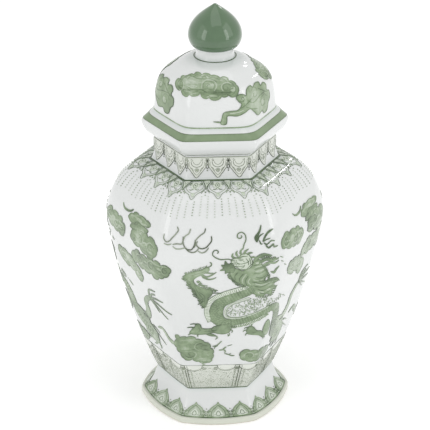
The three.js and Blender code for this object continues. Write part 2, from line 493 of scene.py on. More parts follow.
    def fur(self, points, length, gap, tone=0.75, lean=0.7, way=1):
        """Short tapering hairs along the left of a path, or along its right if way is -1."""
        path, _ = smooth(points, step=gap)
        along, left = directions(path)
        for root, run, rise in zip(path, along, left * way):
            reach = length * chance.uniform(0.6, 1.2)
            bend = root + (rise * 0.7 + run * lean * 0.2) * reach
            tip = root + (rise + run * lean) * reach
            self.stroke([root - rise * 0.8, bend, tip], [1.7, 1.2, 0.4], tone, step=1.5)

    def sweeps(self, outline, tone):
        """Wavy strokes that cross a closed outline, some darker than the tone, some paler."""
        edge = smooth(outline, True)[0]
        least, most = edge.min(axis=0), edge.max(axis=0)
        across = np.arange(least[0], most[0], 1.5)
        for height in np.arange(least[1] + 3.5, most[1] - 2, 3.6):
            track = np.stack([across, height + 1.2 * np.sin(across * 0.22 + height)], axis=1)
            track = track[inside_outline(track, edge)]
            gaps = np.flatnonzero(np.diff(track[:, 0]) > 2) + 1
            for sweep in np.split(track, gaps):
                if len(sweep) > 8:
                    self.stroke(sweep[2:-2:2], chance.uniform(1.0, 2.2),
                                tone + chance.uniform(-0.2, 0.22), THIRD_COAT, taper=0.1)

    def fire(self, name, body, finish=None):
        places = np.concatenate(self.places) * MM
        obj = new_mesh(name, places, [], self.faces)
        tone = obj.data.attributes.new("tone", "FLOAT", "POINT")
        tone.data.foreach_set("value", np.concatenate(self.tones).astype(np.float32))
        thickness = obj.modifiers.new("thickness", "SOLIDIFY")
        thickness.thickness = ENAMEL_DEPTH * MM
        thickness.offset = -1
        bpy.ops.object.modifier_apply(modifier="thickness")
        bpy.ops.object.shade_smooth_by_angle(angle=CREASE)
        return settle(obj, body, "green_enamel", finish or enamel)


def scalloped(cusps, bulge=0.32):
    """A closed outline that swells into a lobe between each cusp and the next, some more
    than others."""
    outline = []
    cusps = np.array(cusps, float)
    for count, (start, end) in enumerate(zip(cusps, np.roll(cusps, -1, axis=0))):
        run = end - start
        out = np.array([-run[1], run[0]]) * (1 + 0.35 * math.sin(2.3 * count))
        outline.append(start)
        outline.append(start + run * 0.2 + out * bulge * 0.75)
        outline.append(start + run * 0.5 + out * bulge)
        outline.append(start + run * 0.8 + out * bulge * 0.75)
    return outline


def curl(centre, size, start, turns, end=0.15):
    """Points along a spiral that winds in to its centre. The start is in degrees, and turns
    are positive anticlockwise."""
    share = np.linspace(0, 1, max(6, int(abs(turns) * 9)))
    angle = math.radians(start) + share * turns * 2 * math.pi
    reach = size * (1 - (1 - end) * share)
    return np.stack([centre[0] + reach * np.cos(angle), centre[1] + reach * np.sin(angle)], axis=1)


# ---- Finishes ----


class Wire:
    """A value in a material's node tree, which takes part in Python sums."""

    def __init__(self, finish, socket):
        self.finish, self.socket = finish, socket

    def maths(self, operation, first, second):
        return self.finish.node("ShaderNodeMath", {"operation": operation}, {0: first, 1: second})

    def __add__(self, other):
        return self.maths("ADD", self, other)

    def __radd__(self, other):
        return self.maths("ADD", other, self)

    def __sub__(self, other):
        return self.maths("SUBTRACT", self, other)

    def __rsub__(self, other):
        return self.maths("SUBTRACT", other, self)

    def __mul__(self, other):
        return self.maths("MULTIPLY", self, other)

    def __rmul__(self, other):
        return self.maths("MULTIPLY", other, self)

    def __abs__(self):
        return self.maths("ABSOLUTE", self, 0.0)


class Finish:
    """A material whose shader is fed by named values."""

    def __init__(self, name, **fixed):
        self.material = bpy.data.materials.new(name)
        self.material.use_nodes = True
        self.nodes = self.material.node_tree.nodes
        self.shader = self.nodes["Principled BSDF"]
        for socket, value in fixed.items():
            self.shader.inputs[socket.replace("_", " ")].default_value = value

    def node(self, kind, settings=None, inputs=None, output=0):
        made = self.nodes.new(kind)
        for name, value in (settings or {}).items():
            setattr(made, name, value)
        for socket, value in (inputs or {}).items():
            if isinstance(value, Wire):
                self.material.node_tree.links.new(value.socket, made.inputs[socket])
            else:
                made.inputs[socket].default_value = value
        return Wire(self, made.outputs[output])

    def feed(self, socket, value):
        self.material.node_tree.links.new(value.socket, self.shader.inputs[socket])

    def place(self):
        return self.node("ShaderNodeTexCoord", output="Object")

    def height(self):
        return self.node("ShaderNodeSeparateXYZ", inputs={0: self.place()}, output="Z")

    def noise(self, scale, detail=3.0, roughness=0.5):
        inputs = {"Vector": self.place(), "Scale": scale, "Detail": detail, "Roughness": roughness}
        return self.node("ShaderNodeTexNoise", inputs=inputs)

    def between(self, value, least, most):
        """Stretches a value so that the least becomes 0 and the most becomes 1."""
        inputs = {"Value": value, "From Min": least, "From Max": most}
        return self.node("ShaderNodeMapRange", {"clamp": True}, inputs)

    def mix(self, share, first, second):
        inputs = {0: share, 6: first, 7: second}
        return self.node("ShaderNodeMix", {"data_type": "RGBA"}, inputs, output=2)

    def bump(self, height, strength, distance):
        inputs = {"Height": height, "Strength": strength, "Distance": distance}
        self.feed("Normal", self.node("ShaderNodeBump", inputs=inputs))


def colour(red, green, blue):
    """A colour seen as red, green and blue out of 255, made linear."""
    return tuple((c / 255 / 12.92) if c < 10 else ((c / 255 + 0.055) / 1.055) ** 2.4
                 for c in (red, green, blue)) + (1.0,)


def white_glaze():
    """Clear glaze on white porcelain: a faint ripple, and a cool tint where it pools."""
    finish = Finish("white_glaze", Roughness=0.12, Coat_Roughness=0.03, Coat_Weight=0.35)
    cloudy = finish.between(finish.noise(9.0), 0.35, 0.65)
    speck = finish.between(finish.noise(900.0, 1.0), 0.74, 0.78)
    height = finish.height()
    pools = None
    for line in (foot_top, shoulder_top, dome_base, dome_top):
        pool = finish.between(abs(height - line * MM), 4 * MM, 0.0)
        pools = pool if pools is None else pools + pool
    base = finish.mix(cloudy, colour(210, 212, 211), colour(214, 216, 215))
    base = finish.mix(pools * 0.5, base, colour(190, 200, 195))
    base = finish.mix(speck * 0.25, base, colour(150, 150, 130))
    finish.feed("Base Color", base)
    finish.feed("Roughness", 0.07 + 0.06 * finish.between(finish.noise(35.0), 0.3, 0.7))
    finish.bump(finish.noise(40.0, 1.0), 0.07, 0.0005)
    return finish.material


def rim_clay():
    """Cream glaze on the foot's rim, wiped to bare matt clay where the jar stands."""
    finish = Finish("rim_clay", Coat_Roughness=0.05)
    bare = finish.between(finish.height(), 1.3 * MM, 0.6 * MM)
    grain = finish.between(finish.noise(700.0, 4.0), 0.35, 0.65)
    clay = finish.mix(grain, colour(188, 180, 162), colour(206, 199, 184))
    glazed = finish.mix(finish.noise(30.0), colour(198, 202, 188), colour(208, 210, 199))
    finish.feed("Base Color", finish.mix(bare, glazed, clay))
    finish.feed("Roughness", 0.3 + 0.45 * bare)
    finish.bump(grain * bare, 0.4, 0.0002)
    return finish.material


def knob_glaze():
    """Sage green glaze that thins to the tip and pools darker towards the stem."""
    finish = Finish("knob_glaze", Coat_Weight=0.6, Coat_Roughness=0.02)
    pooled = finish.between(finish.height(), knob_top * MM, knob_base * MM)
    mottle = finish.between(finish.noise(60.0, 5.0), 0.3, 0.7)
    base = finish.mix(mottle, colour(78, 104, 75), colour(88, 114, 84))
    base = finish.mix(pooled * 0.5, base, colour(66, 92, 66))
    finish.feed("Base Color", base)
    finish.feed("Roughness", 0.06 + 0.05 * mottle)
    finish.bump(finish.noise(45.0, 2.0), 0.1, 0.0005)
    return finish.material


def enamel_colours(name, pale, middle, dark, mottle=1.0):
    """Brushed enamel: its tone sets the depth of colour, and the brush leaves it mottled."""
    finish = Finish(name, Coat_Weight=0.35, Coat_Roughness=0.03)
    tone = finish.node("ShaderNodeAttribute", {"attribute_name": "tone"}, output="Fac")
    streak = finish.between(finish.noise(150.0, 6.0, 0.65), 0.3, 0.7)
    cloudy = finish.between(finish.noise(38.0, 4.0), 0.3, 0.7)
    uneven = 0.42 * (streak - 0.5) + 0.72 * (cloudy - 0.5)
    depth = tone * (0.97 + mottle * uneven)
    washed = finish.mix(finish.between(depth, 0.0, 0.5), pale, middle)
    finish.feed("Base Color", finish.mix(finish.between(depth, 0.5, 1.0), washed, dark))
    finish.feed("Roughness", 0.1 + 0.08 * streak)
    finish.bump(finish.noise(60.0, 1.0), 0.06, 0.0003)
    return finish.material


porcelain = white_glaze()
rim_finish = rim_clay()
knob_finish = knob_glaze()
pale_green, dark_green = colour(203, 210, 198), colour(68, 88, 58)
enamel = enamel_colours("green_enamel", pale_green, colour(127, 146, 113), dark_green)
band_enamel = enamel_colours("band_enamel", pale_green, colour(125, 144, 111), dark_green,
                             mottle=0.3)
fine_enamel = enamel_colours("fine_line_enamel", colour(211, 214, 206), colour(152, 162, 142),
                             colour(76, 86, 66))

# ---- The jar's walls ----


def make_foot():
    base, top, radius = low("foot_ring"), high("foot_ring"), corner("foot_ring")
    outline = rounded((radius - ARRIS, base + ARRIS), ARRIS, -90, 6)
    outline += rounded((radius - ARRIS, top - ARRIS), ARRIS, 0, 6)
    outline += [(70, top), (70, base + 0.8), (70.8, base)]
    ring = throw("foot_rim", outline, section_of(foot_rim_clay))
    settle(ring, "jar", "bare_clay", rim_finish, "foot_ring")

    inner = [(radius - FOOT_WALL, height) for radius, height in skirt_clay.outline()][::-1]
    skirt = throw("foot_flare", skirt_clay.outline() + inner, section_of(skirt_clay))
    settle(skirt, "jar", "white_glaze", porcelain, "foot_skirt")


def make_body():
    inside = [p for p in body_clay.inside(BODY_WALL)
              if floor_top + 3 < p[1] < shoulder_top - BODY_WALL and p[0] > BORE_RADIUS]
    outline = [(0, foot_top)] + body_clay.outline() + [
        (BORE_RADIUS, shoulder_top),
        (BORE_RADIUS, shoulder_top - BODY_WALL),
        *inside,
        (corner("base_floor") - BODY_WALL - 3, floor_top),
        (0, floor_top),
    ]
    body = throw("jar_body", outline, section_of(body_clay))
    settle(body, "jar", "white_glaze", porcelain, "base_floor", "body_wall")


def make_neck():
    outline = neck_clay.outline()[:-1]
    outline += rounded((NECK_RADIUS - ARRIS, rim_top - ARRIS), ARRIS, 0)
    outline += rounded((BORE_RADIUS + ARRIS, rim_top - ARRIS), ARRIS, 90)
    outline.append((BORE_RADIUS, shoulder_top))
    neck = throw("neck", outline, section_of(neck_clay))
    settle(neck, "jar", "white_glaze", porcelain, "neck_collar")


def make_lid():
    ring_outer = corner("lid_locating_ring")
    ring_inner = ring_outer - RING_WALL
    ring_low = low("lid_locating_ring")
    outline = rounded((ring_outer - 1, ring_low + 1), 1, -90)
    outline += [(ring_outer, seat), (ring_inner, seat)]
    outline += rounded((ring_inner + 1, ring_low + 1), 1, 180)
    ring = throw("locating_ring", outline, section_of(neck_clay))
    settle(ring, "lid", "white_glaze", porcelain, "lid_locating_ring")

    outline = flange_clay.outline() + [
        (dome_radius - LID_WALL, dome_base),
        (flange_radius - 11, seat + LIP_HEIGHT),
        (flange_radius - 16, seat + 7),
        (ring_inner, seat + 6),
        (ring_inner, seat),
    ]
    flange = throw("brim", outline, section_of(flange_clay))
    settle(flange, "lid", "white_glaze", porcelain, "lid_flange")

    inside = [p for p in dome_clay.inside(LID_WALL) if p[0] > 14 and p[1] > dome_base + 1]
    outline = [(0, dome_top - 7), *inside, (dome_radius - LID_WALL, dome_base)]
    outline += dome_clay.outline() + [(0, dome_top)]
    dome = throw("dome", outline, section_of(dome_clay), steps=180)
    settle(dome, "lid", "white_glaze", porcelain, "lid_dome")


def make_knob():
    half = (knob_base - dome_top) / 2
    hollow = [(collar_radius - 0.75 * math.cos((h - half) / half * math.pi / 2), dome_top + h)
              for h in np.linspace(0, 2 * half, 13)]
    outline = [(0, dome_top), *hollow, (0, knob_base)]
    collar = throw("knob_stem", outline, round_section, steps=96)
    settle(collar, "lid", "white_glaze", porcelain, "knob_collar")

    widest = knob_base + 12
    tip_edge = (2.6, knob_top - 1.8)
    tip_top = knob_top - 0.6
    share = np.linspace(0, 1, 24)
    lower = bezier([(collar_radius, knob_base), (knob_radius - 1, knob_base + 2),
                    (knob_radius, widest)], share)
    upper = bezier([(knob_radius, widest), (knob_radius, knob_base + 28), (12, knob_base + 38),
                    tip_edge], share)
    tip = bezier([tip_edge, (1.4, tip_top), (0, tip_top)], share[::4])
    outline = [(0, knob_base), *map(tuple, lower), *map(tuple, upper[1:]),
               *map(tuple, tip[1:-1]), (0, tip_top)]
    knob = throw("knob_bud", outline, round_section, steps=128)
    settle(knob, "lid", "green_glaze", knob_finish, "knob")


make_foot()
make_body()
make_neck()
make_lid()
make_knob()

# ---- Bands and borders ----

ALL_ROUND = range(SIDES)
EVERY_SECOND = (0, 2, 4)
EVERY_THIRD = (0, 3)


def paint_lid_bands():
    lines = Painting(flange_clay, ALL_ROUND)
    top = flange_clay.up[-1]
    lines.girdle(0.9, 1.1, 0.85)
    lines.girdle(top - 9.3, 7.4, 0.58, FIRST_COAT, wobble=0.12)
    lines.girdle(top - 5.7, 0.5, 0.75)
    lines.girdle(top - 12.9, 0.5, 0.75)
    lines.fire("brim_bands", "lid", band_enamel)
    ring = Painting(dome_clay, ALL_ROUND)
    ring.girdle(dome_clay.up[-1] - 1.2, 1.3, 0.95)
    ring.fire("stem_ring", "lid", band_enamel)


def paint_neck():
    """Pointed lappets, three to a side, that hang below a scrolled band."""
    lines = Painting(neck_clay, ALL_ROUND, fan=15)
    pitch = lines.reference / 3
    for count in (-1, 0, 1):
        at = count * pitch
        lappet = symmetrical(at, [(0, 3), (3.8, 7), (7.4, 12), (9.8, 16), (9.8, 24)])
        lines.wash(lappet, 0.05, SECOND_COAT, grain=1.6)
        lines.stroke(lappet, 0.6, 1.0)
        for half, width, tone in (
            ([(0, 6), (2.8, 8.5), (5.8, 13), (7.8, 16.8), (7.8, 21)], 0.45, 0.8),
            ([(0, 14.5), (4.6, 16.5), (6, 21)], 0.6, 0.95),
            ([(0, 17.3), (2.6, 18.5), (4, 21)], 0.5, 0.8),
        ):
            lines.stroke(symmetrical(at, half), width, tone)
        lines.stroke([(at + x, y) for x, y in [(-2.2, 11.5), (0, 13), (2.2, 11.5), (0, 9)]],
                     0.5, 0.95, closed=True)
        lines.wash([(at - 1.6, 11.4), (at, 12.4), (at + 1.6, 11.4), (at, 9.8)], 0.6, THIRD_COAT,
                   grain=1.2)
        lines.mirrored(at, [(7, 14.6), (4.6, 12.8), (3.4, 10)], 0.6, 0.75)
        middle = at + pitch / 2
        lines.mirrored(middle, [(1.6, 20), (1.8, 16), (0.8, 13.5), (0, 12)], 0.6, 0.95)
        lines.dot((middle, 17), 1.3, 0.9)
        lines.dot((middle, 10.6), 1.5, 0.9)
        for way in (-1, 1):
            lines.stroke(curl((middle + way * 1.7, 22.2), 1.6, 90, way * 1.1), 0.5, 0.85)
            lines.stroke(curl((at + way * 4.8, 22.4), 1.5, 90, -way * 1.1), 0.5, 0.85)
    lines.girdle(25.6, 0.6, 0.7)
    lines.girdle(24.2, 0.35, 0.55)
    lines.girdle(22.5, 5.5, 0.08, FIRST_COAT)
    lines.fire("neck_border", "jar", fine_enamel)
    line = Painting(neck_clay, ALL_ROUND)
    line.girdle(0.6, 1.1, 0.9)
    line.fire("neck_line", "jar", band_enamel)


def paint_shoulder():
    """Twenty-one flowered lappets below the neck, with strings of beads hanging under them."""
    top = body_clay.up[-1]
    lines = Painting(body_clay, EVERY_SECOND, fan=-12, sill=top)
    pitch = lines.reference * 2 / 7
    lappet = [(0, -26), (4, -20), (8, -17), (11, -12), (10, -8), (7, -2)]
    for count in range(7):
        at = -1 + count * pitch
        lines.stroke(symmetrical(at, lappet), 0.42, 0.7)
        lines.mirrored(at, [(4.6, -2), (7.8, -7.5), (8.6, -12), (6, -15.6), (0, -20)], 0.35, 0.45)
        lines.wash([(at - 4, -5), (at, -3.5), (at + 4, -5), (at + 5, -10), (at, -14.5),
                    (at - 5, -10)], 0.02, grain=1.6)
        lines.stroke([(at, -5.5), (at + 2.4, -9), (at, -12.5), (at - 2.4, -9)], 0.5, 0.85,
                     closed=True)
        lines.dot((at, -9), 2.0, 0.8)
        for way in (-1, 1):
            begin = 200 if way > 0 else -20
            lines.stroke(curl((at + way * 5.2, -6.5), 2.2, begin, way * 1.2), 0.5, 0.65)
        lines.mirrored(at, [(0.5, -13), (2.6, -15), (4.8, -14.4)], 0.6, 0.8)
        lines.wash([(at - 2, -20), (at, -18.4), (at + 2, -20), (at, -23.6)], 0.2, SECOND_COAT,
                   grain=1.4)
        middle = at + pitch / 2
        lines.wash(symmetrical(middle, [(0, -12), (1.4, -8), (3.4, -2)]), 0.03, grain=1.4)
        lines.mirrored(middle, [(4.8, -2), (2.4, -7), (1.5, -11), (0, -15)], 0.5, 0.8)
        lines.mirrored(middle, [(2.2, -2.5), (1.1, -5), (0, -7.5)], 0.4, 0.65)
        lines.mirrored(middle, [(0.8, -16), (2.8, -17), (3.8, -19.5)], 0.5, 0.7)
        lines.dot((middle, -18), 1.7, 0.8)
        lines.dot((middle, -21.5), 1.2, 0.6)
        for string in (-1.5, -0.5, 0.5, 1.5):
            weight = 0.2 if (count * 4 + string) % 3 > 1 else 0.5
            bottom = -44 + 1.6 * math.sin(5 * string + count)
            upper = -23 if abs(string) > 1 else -26
            for height in np.arange(bottom, upper, BEAD_PITCH):
                lines.dot((at + string * pitch / 4, height), 1.1, weight)
    lines.girdle(-0.9, 1.5, 1.0)
    lines.fire("shoulder_border", "jar")


def paint_waist():
    """A netted band between two lines: eight panels, with white swags along its top."""
    lines = Painting(body_clay, EVERY_THIRD, fan=22)
    top = body_clay.reach(floor_top) + 31
    base = 1.2
    panels, pricks = 4, 30
    panel = lines.reference * 3 / panels
    for row, height in enumerate(np.arange(base + 2, top - 1, 2.3)):
        for column in range(pricks * panels):
            across = (column + 0.5 * (row % 2)) * panel / pricks + chance.uniform(-0.4, 0.4)
            place = np.array([across, height + chance.uniform(-0.4, 0.4)])
            turn = chance.uniform(0, math.pi)
            reach = np.array([math.cos(turn), math.sin(turn)]) * chance.uniform(0.4, 0.9)
            lines.stroke([place - reach, place + reach], 0.65, chance.uniform(0.0, 0.7),
                         lift=SECOND_COAT, step=2.0)
    for count in range(panels):
        left = count * panel - 33
        for centre in (8, 41):
            at = left + centre
            swag = symmetrical(at, [(0, top - 8), (4.5, top - 7), (8, top - 4), (9, top)])
            lines.wash(swag, 0.0, LINE_COAT, grain=1.4)
            lines.stroke(swag, 0.8, 1.0, lift=LINE_COAT + 0.04)
            lines.stroke([(x * 0.82 + at * 0.18, y + 1.2) for x, y in swag[1:-1]], 0.4, 0.4,
                         lift=LINE_COAT + 0.04)
            for way in (-1, 1):
                lines.stroke(curl((at + way * 11, top - 5), 2.3, 90, way * 1.3), 0.6, 0.7)
                lines.dot((at + way * 12.6, top - 10), 1.3, 0.7)
        for across in (-1.4, 1.2):
            lines.stroke([(left + across, base), (left + across + 0.3, top)], 0.8, 0.85)
        for height in np.arange(base + 3, top - 4, 2.6):
            lines.dot((left - 5, height), 1.4, 0.65)
            lines.dot((left + 5, height), 1.2, 0.5)
        for height in np.arange(base + 2, top - 12, 2.6):
            lines.dot((left + 25, height), 1.1, 0.3)
    lines.girdle((base + top) / 2, top - base, 0.02, FIRST_COAT, rim=0.03)
    lines.fire("waist_border", "jar", fine_enamel)
    edges = Painting(body_clay, ALL_ROUND)
    edges.girdle(top, 0.8, 0.9)
    edges.girdle(0.9, 1.5, 0.95)
    edges.fire("waist_lines", "jar", band_enamel)


def paint_foot():
    """Eighteen upright lappets that stand on a line above the foot's plain rim."""
    lines = Painting(skirt_clay, ALL_ROUND, fan=8)
    pitch = lines.reference / 3
    lappet = [(0, 18.5), (2, 16), (5.5, 14), (9, 11), (11, 6), (10, 1)]
    inner = [(6.6, 2), (7.4, 6), (5.6, 10), (2.4, 12.8), (0, 15)]
    lines.girdle(4.6, 7.6, 0.14, FIRST_COAT)
    for count in (-1, 0, 1):
        at = count * pitch
        lines.wash(symmetrical(at, lappet), 0.34, SECOND_COAT, grain=1.4, rim=0.2)
        lines.mirrored(at, inner, 0.6, 0.85)
        lines.wash(symmetrical(at, [(0, 12), (3, 9.6), (5.2, 6.4), (5.4, 2.4)]), 0.05,
                   THIRD_COAT, grain=1.4)
        lines.mirrored(at, [(5, 2.2), (4.8, 6.4), (2.6, 9.4), (0, 11.5)], 0.4, 0.6)
        lines.mirrored(at, [(0, 3), (2.2, 3.8), (1.8, 6.4), (0, 8.6)], 0.7, 0.85)
        for way in (-1, 1):
            lines.dot((at + way * 3.6, 4), 1.1, 0.8)
            lines.dot((at + way * 9, 3.6), 1.6, 0.95)
            lines.dot((at + way * 8.4, 8), 1.1, 0.8)
        middle = at + pitch / 2
        for way in (-1, 1):
            lines.stroke(curl((middle + way * 1.8, 7.6), 1.7, 90, -way * 1.2), 0.7, 0.8)
            lines.stroke([(middle + way * 2.6, 2), (middle + way * 1.6, 4.4), (middle, 5.4)], 0.7,
                         0.8)
        lines.dot((middle, 3.2), 1.7, 0.95)
        lines.dot((middle, 10.6), 1.2, 0.7)
    lines.girdle(0.7, 1.3, 0.95)
    lines.fire("foot_border", "jar")


# ---- Clouds, flames and dragons ----


def cloud(painting, cusps, tone=0.5, swirls=(), pale=(), bulge=0.23, grain=2.0):
    """A cloud drawn lobe by lobe: paler patches are (centre, width, height), and swirls are
    (centre, size, start, turns)."""
    outline = scalloped(cusps, bulge)
    painting.wash(outline, tone, FIRST_COAT, grain, rim=0.2)
    painting.stroke(outline, 0.5, tone + 0.25, closed=True)
    painting.sweeps(outline, tone)
    for patch in pale:
        painting.wash(oval(*patch), tone - 0.2, SECOND_COAT, grain)
    for centre, size, start, turns in swirls:
        painting.stroke(curl(centre, size, start, turns), 0.8, tone + 0.2)
        painting.stroke(curl(centre, size + 1.4, start, turns * 0.5, 0.75), 0.9, tone - 0.2)


def paint_lid_clouds():
    lines = Painting(dome_clay, EVERY_SECOND)
    cusps = np.array([(-54, 40), (-47, 47), (-38, 51), (-27, 57), (-16, 58), (-6, 58), (3, 55),
                      (12, 51), (20, 45), (22, 38), (11, 35), (4, 34), (-9, 33), (-18, 37),
                      (-31, 35), (-44, 37)])
    middle = cusps.mean(axis=0)
    contour = np.array(scalloped(middle + (cusps - middle) * (0.9, 0.8), 0.2))
    lines.stroke(contour, 0.5, 0.8, closed=True)
    cloud(lines, cusps, 0.5,
          swirls=[((-8, 45), 7.5, 200, -1.4), ((9, 43), 5, 30, 1.1), ((-45, 42.5), 4.5, 250, 0.9),
                  ((-14, 54), 3, 0, 1.0)],
          pale=[((-29, 46), 17, 9), ((-7, 45), 9, 6), ((6, 53), 8, 4), ((16, 41), 6, 5)],
          bulge=0.22)
    for points in ([(-50, 40), (-40, 38.5), (-28, 40), (-17, 41), (-10, 38), (2, 38), (14, 38)],
                   [(-40, 52), (-32, 54.5), (-20, 53), (-8, 53.5), (0, 50)],
                   [(-36, 41), (-27, 38), (-20, 40)]):
        lines.stroke(points, 0.9, 0.85)
    lines.wash([(-16, 37), (-10, 34.5), (4, 35.5), (14, 37), (12, 40), (0, 40.5), (-12, 40)],
               0.72, SECOND_COAT)

    head = [(31, 33), (33, 39), (39, 41), (43, 38.5), (48, 41), (55, 40), (58, 36), (64, 37),
            (70, 33), (70, 28), (76, 25), (77, 18), (73, 14), (70, 7), (63, 6), (59, 10),
            (50, 8.5), (43, 14), (36, 19), (28, 16), (20, 13.5), (10, 14), (9, 9),
            (8, 5), (3, 5.5), (4, 11), (6, 17), (12, 18.5), (21, 19.5), (25, 25), (22, 28),
            (19, 32), (22, 35), (28, 34.5)]
    lines.shape(head, 0.48, 1.0, 0.85)
    lines.stroke(curl((45, 32), 7, 150, -1.1), 0.9, 0.65)
    lines.stroke(curl((62, 19), 8, 20, 1.2), 0.9, 0.65)
    lines.stroke(curl((26, 30.5), 3.4, 200, 1.1), 0.8, 0.85)
    for points in ([(33, 28), (42, 24), (54, 27), (66, 28)], [(30, 22), (40, 18), (50, 15.5)],
                   [(24, 21), (32, 25), (40, 29)], [(52, 35), (60, 31), (70, 26)]):
        lines.stroke(points, 0.9, 0.8)
    for patch in (((45, 32), 9, 5), ((60, 19), 9, 6), ((27, 31), 6, 3)):
        lines.wash(oval(*patch), 0.34, SECOND_COAT)
    lines.stroke([(12, 16.5), (20, 17), (27, 19)], 0.8, 0.2)
    lines.stroke([(3, 7), (-1, 7.5), (-5, 8)], [2.0, 1.4, 0.6], 0.8)
    lines.girdle(1.0, 1.3, 0.42)
    lines.fire("lid_clouds", "lid")


def on_body():
    """A painting on every second side of the body, measured up from the waist."""
    return Painting(body_clay, EVERY_SECOND, sill=body_clay.reach(floor_top))


def paint_clouds():
    lines = on_body()
    cloud(lines, [(70, 191), (73, 200), (84, 200), (98, 199), (108, 195), (116, 189), (112, 183),
                  (100, 181), (90, 183), (78, 187)], 0.5,
          swirls=[((79, 193), 5, 90, 1.3), ((97, 190), 5.5, 60, -1.2), ((110, 187), 3, 0, 1)],
          pale=[((90, 193), 9, 6), ((104, 188), 8, 5)])
    cloud(lines, [(86, 150), (87, 158), (96, 161), (108, 159), (117, 152), (126, 142), (122, 134),
                  (112, 133), (111, 140), (102, 143), (93, 143)], 0.5,
          swirls=[((96, 152), 5.5, 100, 1.3), ((113, 145), 5, 60, -1.2)],
          pale=[((104, 153), 8, 6), ((118, 138), 7, 5)])
    cloud(lines, [(-119, 190), (-108, 197), (-98, 203), (-86, 198), (-74, 195), (-72, 186),
                  (-77, 178), (-90, 176), (-102, 181), (-116, 183)], 0.55,
          swirls=[((-82, 187), 5.5, 30, 1.4), ((-101, 191), 5, 120, -1.2), ((-112, 187), 3, 180, 1)],
          pale=[((-92, 190), 8, 6), ((-106, 187), 7, 4)])
    cloud(lines, [(-121, 197), (-112, 203), (-98, 205), (-86, 204), (-98, 200), (-110, 197)], 0.55,
          bulge=0.14)
    cloud(lines, [(-125, 205), (-116, 211), (-104, 213), (-90, 213), (-82, 211), (-92, 207),
                  (-104, 206)], 0.5, bulge=0.15, pale=[((-104, 209), 12, 3)])
    lines.stroke([(-137, 215), (-134, 211), (-127, 210.5), (-121, 212), (-116, 215)],
                 [1.2, 2.2, 2.4, 2.0, 1.2], 0.85)
    cloud(lines, [(-120, 160), (-114, 170), (-102, 171), (-90, 171), (-78, 173), (-66, 171),
                  (-55, 171), (-54, 163), (-61, 157), (-68, 154), (-82, 154), (-96, 153),
                  (-108, 156)], 0.52,
          swirls=[((-60, 165), 5, 60, 1.2), ((-82, 164), 6, 40, 1.4), ((-104, 163), 5.5, 160, -1.3)],
          pale=[((-69, 163), 7, 8), ((-93, 163), 9, 6)], bulge=0.24)
    cloud(lines, [(-43, 74), (-34, 76), (-24, 73), (-15, 68), (-9, 59), (-6, 50), (-7, 42),
                  (-12, 36), (-21, 38), (-28, 42), (-37, 43), (-41, 52), (-46, 59), (-49, 67)],
          0.66, grain=1.5, swirls=[((-30, 50), 6, 200, 1.2), ((-20, 61), 5.5, 60, 1.1)],
          pale=[((-14, 53), 5, 4)], bulge=0.2)
    lines.stroke([(-47, 64), (-54, 65), (-60, 68), (-66, 74), (-72, 76), (-80, 73)],
                 [7, 6, 5, 4.5, 4, 3], 0.6, FIRST_COAT, taper=0.4, rim=0.2)
    lines.wash([(-48, 78), (-44, 79), (-41, 75), (-40, 70), (-43, 69), (-47, 73)], 0.7,
               SECOND_COAT, grain=1.5)
    lines.stroke([(-18, 38), (-17, 34), (-14, 31.5)], 1.4, 0.45)
    cloud(lines, [(23, 44), (25, 53), (34, 53), (44, 51), (56, 50), (66, 44), (61, 38), (48, 37),
                  (38, 36), (29, 38)], 0.62, grain=1.4,
          swirls=[((33, 45), 4.5, 180, -1.2), ((50, 44), 4, 60, 1.1)],
          pale=[((41, 46), 5, 4)], bulge=0.18)
    for points, width in (
        ([(-7, 61), (-3, 62), (0, 65), (3, 69)], 1.2), ([(-5, 57), (-4, 60), (-1, 62)], 1.0),
        ([(0, 55), (4, 55.5), (6, 58), (8, 60)], 1.6), ([(4, 56), (7, 53.5), (6, 51)], 1.4),
        ([(6, 50), (10, 48), (14, 46), (17, 46)], 1.3), ([(11, 48), (13, 50)], 0.8),
        ([(9, 61), (14, 63)], 0.7), ([(9, 79), (10, 76)], 1.0),
    ):
        lines.stroke(points, width, 0.7)
    lines.fire("body_clouds", "jar")


